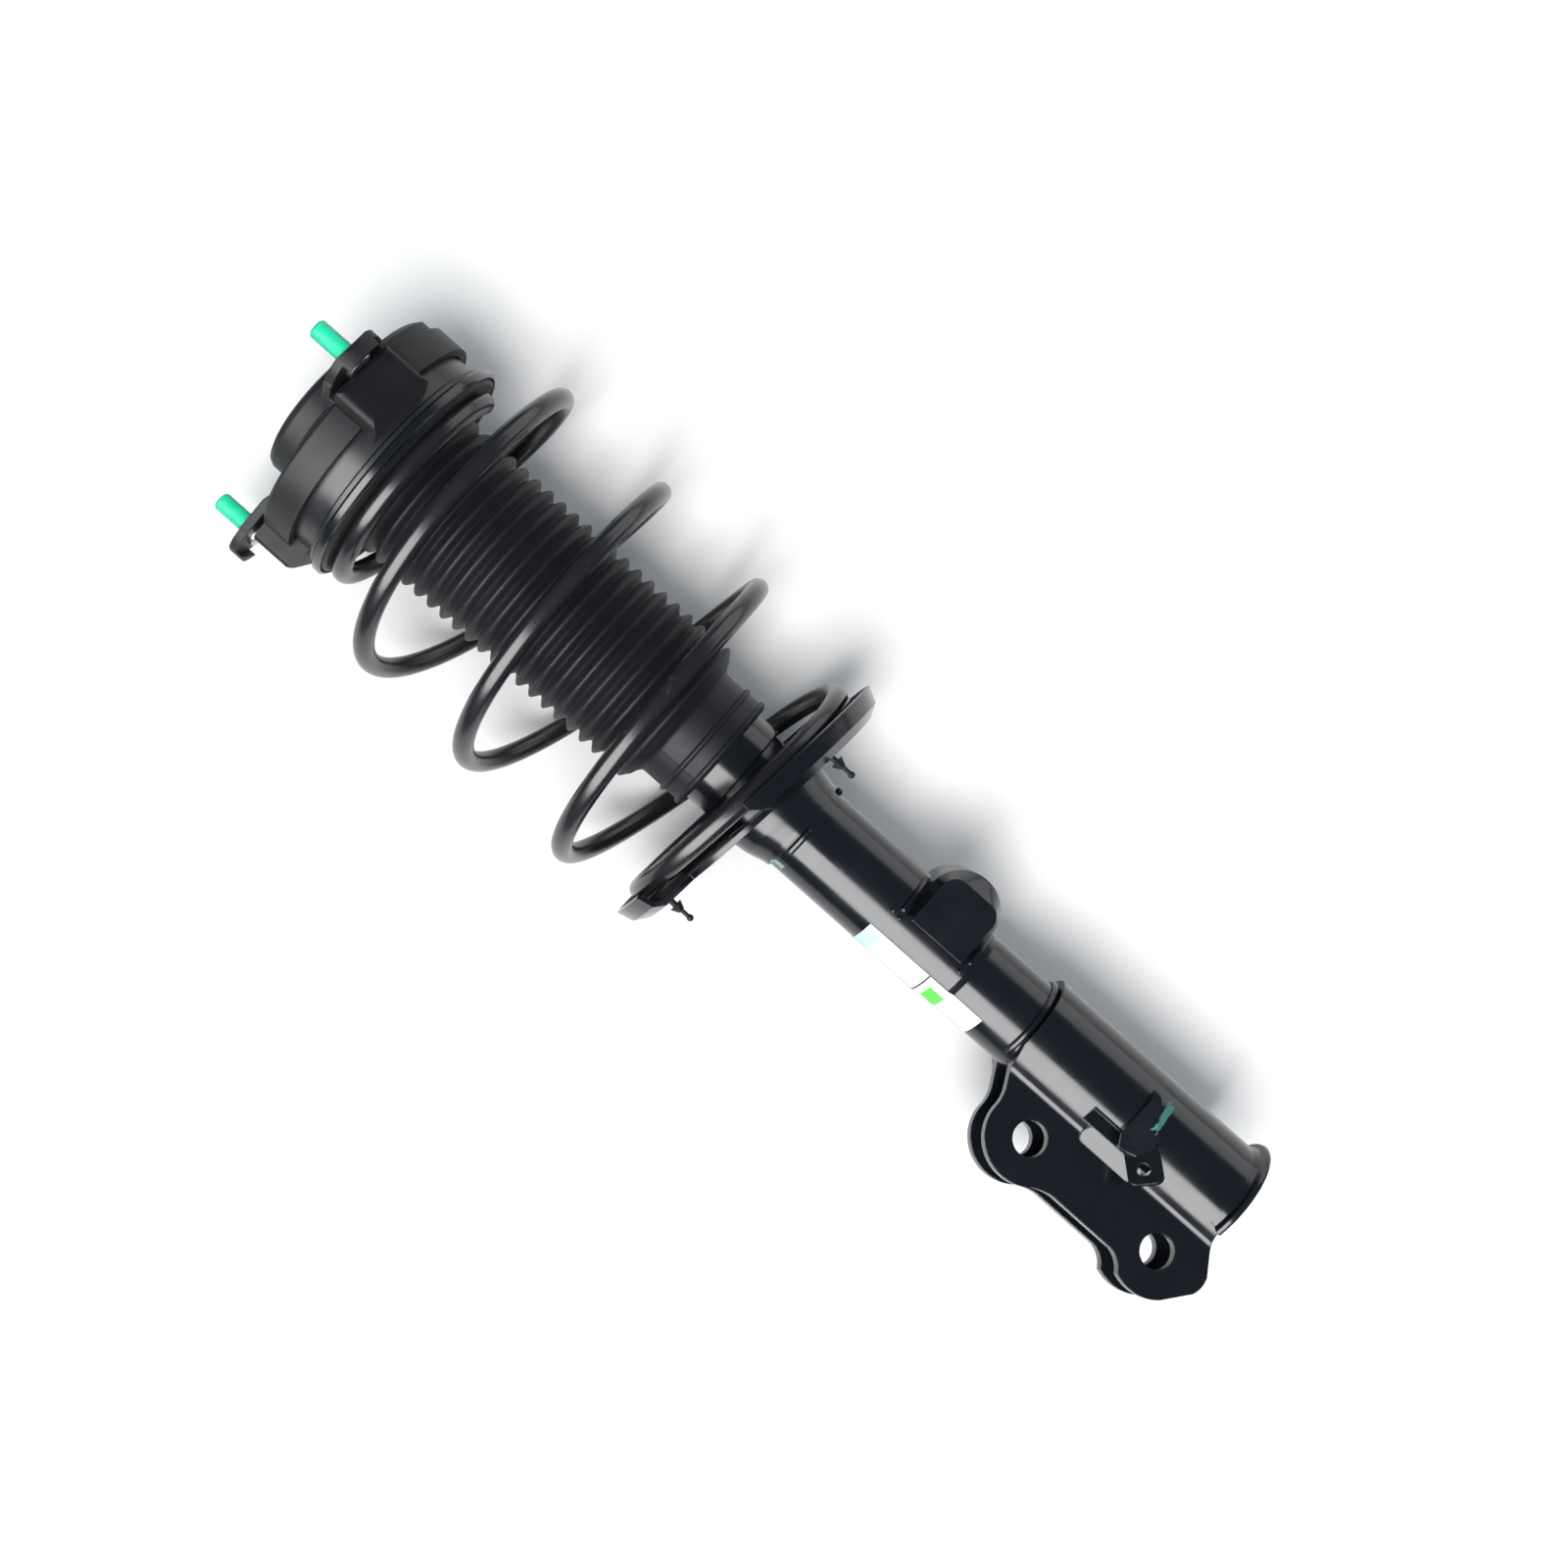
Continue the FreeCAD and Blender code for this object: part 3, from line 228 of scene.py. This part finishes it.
def spring_coating():
    """Powder coating on the wire: softer gloss than the paint, with chips and light scuffs."""
    finish = Finish("spring_coating", Metallic=0.0, IOR=1.5)
    cloud = finish.noise(60.0, detail=5.0, roughness=0.65)
    scuffs = finish.spread(finish.noise(90.0, detail=6.0, roughness=0.7), 0.6, 0.72)
    base = finish.blend(cloud, colour(0.0065, 0.007, 0.0085), colour(0.014, 0.0145, 0.0165))
    base = finish.blend(finish.math("MULTIPLY", scuffs, 0.35), base, colour(0.045, 0.046, 0.048))
    finish.feed("Base Color", base)
    finish.feed("Roughness", finish.spread(scuffs, 0.0, 1.0, 0.24, 0.42))
    finish.feed("Normal", finish.bumps(finish.noise(700.0, detail=2.0), 0.04 * MM, None, 0.35))
    return finish.material


def moulded_rubber(name, dark, light, grain=0.3):
    """Matt black rubber with bloom in patches and a fine moulded grain."""
    finish = Finish(name, IOR=1.34, Sheen_Weight=0.02, Sheen_Roughness=0.5)
    bloom = finish.noise(45.0, detail=5.0, roughness=0.6)
    dust = finish.spread(finish.noise(1300.0, detail=2.0), 0.62, 0.75)
    base = finish.blend(bloom, colour(*dark), colour(*light))
    base = finish.blend(finish.math("MULTIPLY", dust, 0.1), base, colour(0.06, 0.06, 0.062))
    finish.feed("Base Color", base)
    finish.feed("Roughness", finish.spread(bloom, 0.3, 0.7, 0.46, 0.6))
    finish.feed("Normal", finish.bumps(finish.noise(1500.0, detail=2.0), 0.03 * MM, None, grain))
    return finish.material


def mount_casting():
    """Satin dark grey coating over a pressed shell, paler along worn edges."""
    finish = Finish("mount_casting", Metallic=0.0, IOR=1.33)
    corners = finish.rounded_normal(1.3 * MM)
    edge = finish.edges(corners)
    cloud = finish.noise(30.0, detail=5.0, roughness=0.6)
    grain = finish.noise(1100.0, detail=2.0)
    base = finish.blend(cloud, colour(0.0085, 0.009, 0.0105), colour(0.016, 0.0168, 0.0186))
    base = finish.blend(finish.math("MULTIPLY", edge, 0.45), base, colour(0.08, 0.082, 0.085))
    finish.feed("Base Color", base)
    finish.feed("Roughness", finish.spread(cloud, 0.3, 0.7, 0.44, 0.58))
    finish.feed("Normal", finish.bumps(grain, 0.05 * MM, corners, 0.4))
    return finish.material


def green_coating():
    """The bright green coating on the studs, in cloudy tones with paler scuffs."""
    finish = Finish("green_coated_steel", IOR=1.5)
    cloud = finish.noise(160.0, detail=4.0)
    scuffs = finish.spread(finish.noise(500.0, detail=4.0, roughness=0.7), 0.6, 0.72)
    base = finish.blend(cloud, colour(0.012, 0.56, 0.30), colour(0.03, 0.75, 0.45))
    base = finish.blend(finish.math("MULTIPLY", scuffs, 0.3), base, colour(0.16, 0.85, 0.62))
    finish.feed("Base Color", base)
    finish.feed("Roughness", finish.spread(cloud, 0.3, 0.7, 0.32, 0.46))
    finish.feed("Normal", finish.bumps(finish.noise(900.0), 0.03 * MM, None, 0.3))
    return finish.material


def bare_metal(name, dark, light, roughness, brushed=True):
    """Bare metal with turning marks round the axis."""
    finish = Finish(name, Metallic=1.0)
    stretch = (1.0, 1.0, 30.0) if brushed else None
    marks = finish.noise(120.0, detail=4.0, roughness=0.7, stretch=stretch)
    finish.feed("Base Color", finish.blend(marks, colour(*dark), colour(*light)))
    finish.feed("Roughness", finish.spread(marks, 0.3, 0.7, roughness * 0.8, roughness * 1.25))
    finish.feed("Normal", finish.bumps(marks, 0.01 * MM, None, 0.25))
    return finish.material


def bearing_plastic():
    """Smooth black nylon with a faint moulding grain."""
    finish = Finish("bearing_plastic", IOR=1.42)
    corners = finish.rounded_normal(0.8 * MM)
    cloud = finish.noise(50.0, detail=3.0)
    finish.feed(
        "Base Color",
        finish.blend(cloud, colour(0.008, 0.0085, 0.010), colour(0.016, 0.0165, 0.019)),
    )
    finish.feed("Roughness", finish.spread(cloud, 0.3, 0.7, 0.26, 0.36))
    finish.feed("Normal", finish.bumps(finish.noise(1600.0), 0.02 * MM, corners, 0.25))
    return finish.material


def bump_foam():
    """Cellular foam, pitted all over."""
    finish = Finish("bump_foam", Roughness=0.85)
    cells = finish.node("TexVoronoi", {"Vector": finish.place(), "Scale": 900.0}).outputs[0]
    cloud = finish.noise(70.0, detail=4.0)
    base = finish.blend(cloud, colour(0.36, 0.30, 0.17), colour(0.50, 0.43, 0.27))
    finish.feed("Base Color", base)
    finish.feed("Normal", finish.bumps(cells, 0.2 * MM, None, 0.6))
    return finish.material


def label_film():
    """White sticker film with a pale blue head, a green patch and a faint paper mottle."""
    finish = Finish("label_film", IOR=1.48)
    angle, z = around_axis(finish)
    turn = finish.math("MODULO", finish.math("ADD", angle, 2 * math.pi), 2 * math.pi)
    mottle = finish.noise(400.0, detail=3.0)
    base = finish.blend(mottle, colour(0.80, 0.81, 0.80), colour(0.90, 0.90, 0.89))

    def inside(source, low, high):
        above = finish.math("GREATER_THAN", source, low)
        below = finish.math("LESS_THAN", source, high)
        return finish.math("MULTIPLY", above, below)

    head = inside(z, LABEL_TOP - 8.0 * MM, LABEL_TOP)
    base = finish.blend(finish.math("MULTIPLY", head, 0.6), base, colour(0.45, 0.80, 0.84))
    patch_top = LABEL_TOP - 42.0 * MM
    patch_height = inside(z, patch_top - 9.0 * MM, patch_top)
    patch_width = inside(turn, math.radians(186.0), math.radians(212.0))
    patch = finish.math("MULTIPLY", patch_height, patch_width)
    base = finish.blend(patch, base, colour(0.12, 0.74, 0.08))
    finish.feed("Base Color", base)
    finish.feed("Roughness", finish.spread(mottle, 0.3, 0.7, 0.30, 0.42))
    finish.feed("Normal", finish.bumps(finish.noise(120.0), 0.1 * MM, None, 0.15))
    return finish.material


def made_materials():
    """One finish for each of the record's material slots."""
    return {
        "mount_casting": mount_casting(),
        "green_coated_steel": green_coating(),
        "rubber": moulded_rubber("rubber", (0.0020, 0.0024, 0.0034), (0.0046, 0.0052, 0.0068)),
        "machined_steel": bare_metal("machined_steel", (0.36, 0.36, 0.37), (0.56, 0.56, 0.57), 0.3),
        "bearing_plastic": bearing_plastic(),
        "black_paint": glossy_black("black_paint"),
        "spring_coating": spring_coating(),
        "bump_foam": bump_foam(),
        "chromed_rod": bare_metal("chromed_rod", (0.70, 0.70, 0.71), (0.80, 0.80, 0.81), 0.08),
        "guide_bronze": bare_metal("guide_bronze", (0.42, 0.26, 0.12), (0.58, 0.38, 0.19), 0.3),
        "label_film": label_film(),
    }


def dress_nodes(finishes):
    """Gives every CAD node the finish of its slot, then paint with its marks to four of them."""
    for item in NODES.values():
        slot = item.data.materials[0].name
        item.data.materials[0] = finishes[slot]
    green_stroke = brush_mark(-0.521, 4.0 * MM, -98.0, -64.0, colour(0.036, 0.14, 0.13))
    pale_dab = brush_mark(-0.304, 7.0 * MM, -171.0, -161.0, colour(0.26, 0.38, 0.37))
    marked = {
        glossy_black("sleeve_paint", green_stroke): ("knuckle_bracket", "hose_bracket"),
        glossy_black("tube_paint", pale_dab): ("outer_tube", "lower_spring_seat"),
    }
    for paint, names in marked.items():
        for name in names:
            NODES[name].data.materials[0] = paint


# Coil spring

TURNS = 5.15
TOP_TURN = 4.2
NEAR_ANGLE = 257.0
HIGH_SIDE = math.radians(204.4)
PITCH = 66.3 * MM
SPRING_LEAN = math.tan(math.radians(7.4))
PAN_TILT = math.tan(math.radians(6.5))
FOOT_HEIGHT = -270.3 * MM  # of the wire lying on the pad, on the axis
WIRE = 5.2 * MM


def climb_left(turn):
    """The turns' worth of climb from here to the top, where the pitch fades away."""
    steps = 100
    width = (TOP_TURN - turn) / steps

    def slope(position):
        opening = smooth(-0.35, 0.25, position) * (0.89 + 0.11 * smooth(0.5, 1.2, position))
        return opening * (1.0 - smooth(3.0, 4.0, position))

    return sum(slope(turn + (index + 0.5) * width) for index in range(steps)) * width


def spring_point(turn, top_height):
    """The wire's centre, where turn 0 is at the foot's near side and each turn adds one."""
    top_radius, body_radius, foot_radius = 53.0 * MM, 78.7 * MM, 66.0 * MM
    angle = math.radians(NEAR_ANGLE + 360.0 * turn)
    radius = foot_radius + (body_radius - foot_radius) * smooth(0.0, 0.9, turn)
    radius -= (body_radius - top_radius) * smooth(3.2, 3.9, turn)
    shift = 9.5 * MM * (1.0 - smooth(0.0, 3.6, turn))
    lean = SPRING_LEAN * radius * math.cos(angle - HIGH_SIDE) * (1.0 - smooth(3.2, 3.9, turn))
    x = radius * math.cos(angle)
    free_height = top_height - PITCH * climb_left(turn) + lean
    lying_height = FOOT_HEIGHT - PAN_TILT * x
    height = lying_height + (free_height - lying_height) * smooth(-0.1, 0.4, turn)
    return Vector((x - shift, radius * math.sin(angle), height))


def spring_line(count):
    """The wire's centre line from the foot to the top, hung from the CAD spring's top."""
    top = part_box("coil_spring")[1].z
    start = TOP_TURN - TURNS
    turns = [start + TURNS * index / count for index in range(count + 1)]
    return [spring_point(turn, top - WIRE) for turn in turns]


def coil_spring(finish):
    """The wire swept along its line, with bevelled cut ends."""
    around = 28
    points = spring_line(int(TURNS * 96))
    rings = []
    last = len(points) - 1
    for index, point in enumerate(points):
        ahead = (points[min(index + 1, last)] - points[max(index - 1, 0)]).normalized()
        outward = Vector((point.x, point.y, 0.0)).normalized()
        across = (outward - ahead * outward.dot(ahead)).normalized()
        rings.append((point, across, ahead.cross(across), WIRE))
    bevel = 0.8 * MM
    for end, inner in ((0, 1), (last, last - 1)):
        point, across, upward, radius = rings[end]
        outward = (points[end] - points[inner]).normalized()
        tip = (point + outward * bevel, across, upward, radius - bevel)
        rings.insert(0 if end == 0 else len(rings), tip)
    rows = []
    for point, across, upward, radius in rings:
        row = []
        for step in range(around):
            angle = 2 * math.pi * step / around
            offset = across * math.cos(angle) + upward * math.sin(angle)
            row.append(point + offset * radius)
        rows.append(row)
    spring = new_piece("spring_wire", *capped(rows), finish)
    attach(spring, "upper_seat")
    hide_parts("coil_spring")
    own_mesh(spring)


# Dust boot


def boot_profile():
    """Radius and height down the outside of the bellows, then up its inside."""
    low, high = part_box("dust_boot")
    radius = high.x
    wall = 1.5 * MM
    folds = 20
    folds_top = -57.0 * MM
    folds_bottom = -222.0 * MM
    depth = 4.2 * MM
    steps = 12
    cuff = 39.7 * MM + wall
    neck = 31.0 * MM
    pitch = (folds_top - folds_bottom) / folds
    outside = [(cuff - 0.6 * MM, high.z), (cuff, high.z - 0.6 * MM), (cuff, folds_top + 3.0 * MM)]
    for index in range(folds * steps + 1):
        share = index / steps
        swell = 0.5 - 0.5 * math.cos(2 * math.pi * share)
        outside.append((radius - depth * (1.0 - swell ** 0.85), folds_top - share * pitch))
    ring = 1.5 * MM

    def collar(height):
        """A small half-round rib round the neck."""
        count = 6
        for index in range(count + 1):
            angle = math.pi * index / count
            across = neck + ring * math.sin(angle)
            outside.append((across, height + ring * math.cos(angle)))

    outside.append((neck + 2.2 * MM, folds_bottom - 1.6 * MM))
    outside.append((neck + 0.3 * MM, folds_bottom - 3.0 * MM))
    outside.append((neck, folds_bottom - 4.4 * MM))
    collar(folds_bottom - 16.4 * MM)
    collar(folds_bottom - 25.8 * MM)
    outside.append((neck - 0.3 * MM, low.z))
    inside = [(27.2 * MM, low.z), (27.2 * MM, folds_bottom - 15.0 * MM)]
    inside += [(neck - wall, folds_bottom - 13.0 * MM), (neck - wall, folds_bottom - 4.0 * MM)]
    for index in reversed(range(folds * steps + 1)):
        share = index / steps
        swell = 0.5 - 0.5 * math.cos(2 * math.pi * share)
        across = radius - wall - depth * (1.0 - swell ** 0.85)
        inside.append((across, folds_top - share * pitch))
    inside.append((cuff - wall, folds_top + 3.4 * MM))
    inside.append((cuff - wall, high.z))
    return outside + inside, len(outside)


def dust_boot(finish):
    """The bellows turned round the axis, with the mould's parting ridge on two sides."""
    around = 180
    profile, outside_count = boot_profile()
    seam = 0.25 * MM
    seam_at = {around // 8, around // 8 + around // 2}
    vertices = []
    rows = []
    for number, (across, height) in enumerate(profile):
        row = []
        for step in range(around):
            angle = 2 * math.pi * step / around
            proud = seam if step in seam_at and number < outside_count else 0.0
            reach = across + proud
            row.append(Vector((reach * math.cos(angle), reach * math.sin(angle), height)))
        rows.append(row)
        vertices += row
    faces = [tuple(reversed(face)) for face in stitched(rows, closed=True)]
    boot = new_piece("boot_bellows", vertices, faces, finish, sharp_degrees=60.0)
    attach(boot, "upper_seat")
    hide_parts("dust_boot")
    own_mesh(boot)


# Studs


def threaded_stud(name, centre, bottom, top, radius, finish):
    """A stud with a rolled thread that fades out above its plain shank."""
    around = 48
    pitch = 1.25 * MM
    thread = 0.5 * MM
    rows = []
    step = pitch / 8
    count = int((top - bottom) / step)
    chamfer = 1.1 * MM
    for index in range(count + 1):
        height = bottom + (top - bottom) * index / count
        start = smooth(bottom + 5.0 * MM, bottom + 7.0 * MM, height)
        tip = max(0.0, height - (top - chamfer))
        row = []
        for turn in range(around):
            phase = (height / pitch - turn / around) % 1.0
            groove = abs(phase - 0.5) * 2.0
            groove = smooth(0.15, 0.85, groove) * thread * start
            row.append(round_about(centre, radius - max(groove, tip), turn / around, height))
        rows.append(row)
    return new_piece(name, *capped(rows), finish, sharp_degrees=50.0)


def round_about(centre, reach, share, height):
    """The point on a circle about an upright line through the centre, at a share of the turn."""
    angle = 2 * math.pi * share
    return Vector((centre.x + reach * math.cos(angle), centre.y + reach * math.sin(angle), height))


def mount_studs(green, steel):
    """Three threaded studs on their pressed heads, on the circle of the record's mount."""
    low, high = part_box("mount_studs")
    circle = 72.0 * MM
    radius = 5.0 * MM
    head_height = 3.0 * MM
    first_angle = 35.5
    for number in range(3):
        angle = math.radians(first_angle + 120.0 * number)
        centre = Vector((circle * math.cos(angle), circle * math.sin(angle), 0.0))
        bottom = low.z + head_height
        stud = threaded_stud(f"stud_{number}", centre, bottom, high.z, radius, green)
        head = stud_head(f"stud_head_{number}", centre, low.z, bottom, radius + 2.0 * MM, steel)
        for piece, slot in ((stud, "green_coated_steel"), (head, "machined_steel")):
            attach(piece, "top_mount")
            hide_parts("mount_studs")


def stud_head(name, centre, bottom, top, radius, finish):
    """The head of a pressed stud, a short flat disc with bevelled rims, under the ear."""
    around = 48
    bevel = 0.7 * MM
    outline = [(radius - 3.0 * bevel, bottom), (radius - bevel, bottom + 0.3 * bevel)]
    outline += [(radius, bottom + 1.5 * bevel), (radius, top - 0.3 * bevel), (radius - bevel, top)]
    rows = [
        [round_about(centre, reach, step / around, height) for step in range(around)]
        for reach, height in outline
    ]
    return new_piece(name, *capped(rows), finish)


# Stage


def photo_camera():
    """A camera square to the strut's side, rolled so that the strut lies on a slant."""
    distance = 0.997
    eye = VIEW_BACK * distance + Vector((0.0, 0.0, -0.221))
    roll = math.radians(-48.4)
    data = bpy.data.cameras.new("camera")
    data.sensor_width = 36.0
    data.lens = 46.8
    data.shift_x = 0.0674
    data.shift_y = -0.0434
    data.dof.use_dof = False
    data.clip_start = 0.01
    camera = bpy.data.objects.new("camera", data)
    bpy.context.scene.collection.objects.link(camera)
    upright = (-VIEW_BACK).to_track_quat("-Z", "Y")
    camera.rotation_mode = "QUATERNION"
    camera.rotation_quaternion = upright @ Quaternion((0.0, 0.0, 1.0), roll)
    camera.location = eye
    bpy.context.scene.camera = camera


def area_light(name, side_degrees, height, distance, width, tall, radiance, **rays):
    """A soft panel aimed at the strut; side_degrees turns it from the camera, right positive."""
    turn = math.radians(side_degrees)
    towards = VIEW_BACK * math.cos(turn) + VIEW_RIGHT * math.sin(turn)
    data = bpy.data.lights.new(name, "AREA")
    data.shape = "RECTANGLE"
    data.size = width
    data.size_y = tall
    data.energy = radiance * math.pi * width * tall
    light = bpy.data.objects.new(name, data)
    bpy.context.scene.collection.objects.link(light)
    light.location = MIDDLE + towards * distance + Vector((0.0, 0.0, height))
    light.rotation_mode = "QUATERNION"
    light.rotation_quaternion = (MIDDLE - light.location).to_track_quat("-Z", "Y")
    for ray, seen in rays.items():
        setattr(light, "visible_" + ray, seen)


def lights():
    """Two tall panels for the long reflections, a key that casts the shadow and a soft fill."""
    area_light("panel_left", -43.0, 0.0, 1.3, 1.12, 1.9, 11.0, diffuse=False)
    area_light("panel_right", 82.0, 0.0, 1.4, 0.9, 1.9, 1.6, diffuse=False)
    area_light("key", -16.0, -0.12, 2.2, 0.8, 0.8, 27.0, glossy=False)
    area_light("fill", 4.0, 0.1, 2.4, 2.4, 2.4, 1.6, glossy=False)


def surroundings():
    """White where the camera sees past the floor, dim grey for what the surfaces reflect."""
    world = bpy.data.worlds.new("surroundings")
    bpy.context.scene.world = world
    world.use_nodes = True
    tree = world.node_tree
    path = tree.nodes.new("ShaderNodeLightPath")
    seen = tree.nodes.new("ShaderNodeBackground")
    seen.inputs["Color"].default_value = colour(1.0, 1.0, 1.0)
    seen.inputs["Strength"].default_value = 1.4
    lit = tree.nodes["Background"]
    lit.inputs["Color"].default_value = colour(0.72, 0.86, 1.0)
    lit.inputs["Strength"].default_value = 0.16
    mix = tree.nodes.new("ShaderNodeMixShader")
    tree.links.new(path.outputs["Is Camera Ray"], mix.inputs[0])
    tree.links.new(lit.outputs[0], mix.inputs[1])
    tree.links.new(seen.outputs[0], mix.inputs[2])
    tree.links.new(mix.outputs[0], tree.nodes["World Output"].inputs["Surface"])


def floor():
    """The pale floor that the strut lies on, clear from its underside."""
    material = bpy.data.materials.new("pale_floor")
    material.use_nodes = True
    tree = material.node_tree
    shader = tree.nodes["Principled BSDF"]
    shader.inputs["Base Color"].default_value = colour(0.80, 0.80, 0.80)
    shader.inputs["Roughness"].default_value = 0.9
    side = tree.nodes.new("ShaderNodeNewGeometry")
    clear = tree.nodes.new("ShaderNodeBsdfTransparent")
    mix = tree.nodes.new("ShaderNodeMixShader")
    tree.links.new(side.outputs["Backfacing"], mix.inputs[0])
    tree.links.new(shader.outputs[0], mix.inputs[1])
    tree.links.new(clear.outputs[0], mix.inputs[2])
    tree.links.new(mix.outputs[0], tree.nodes["Material Output"].inputs["Surface"])
    depth = 0.092
    half = 0.45
    middle = MIDDLE - VIEW_BACK * depth
    corners = [
        middle + VIEW_RIGHT * across + Vector((0.0, 0.0, up))
        for across, up in ((-half, -half), (half, -half), (half, half), (-half, half))
    ]
    mesh = bpy.data.meshes.new("floor")
    mesh.from_pydata([tuple(corner) for corner in corners], [], [(0, 1, 2, 3)])
    mesh.materials.append(material)
    item = bpy.data.objects.new("floor", mesh)
    bpy.context.scene.collection.objects.link(item)


def main():
    finishes = made_materials()
    dress_nodes(finishes)
    mount_studs(finishes["green_coated_steel"], finishes["machined_steel"])
    coil_spring(finishes["spring_coating"])
    dust_boot(moulded_rubber("boot_rubber", (0.0036, 0.0045, 0.0066), (0.0068, 0.0080, 0.0108), 0.2))
    surroundings()
    floor()
    lights()
    photo_camera()
    bpy.context.scene.view_settings.view_transform = "Standard"


main()
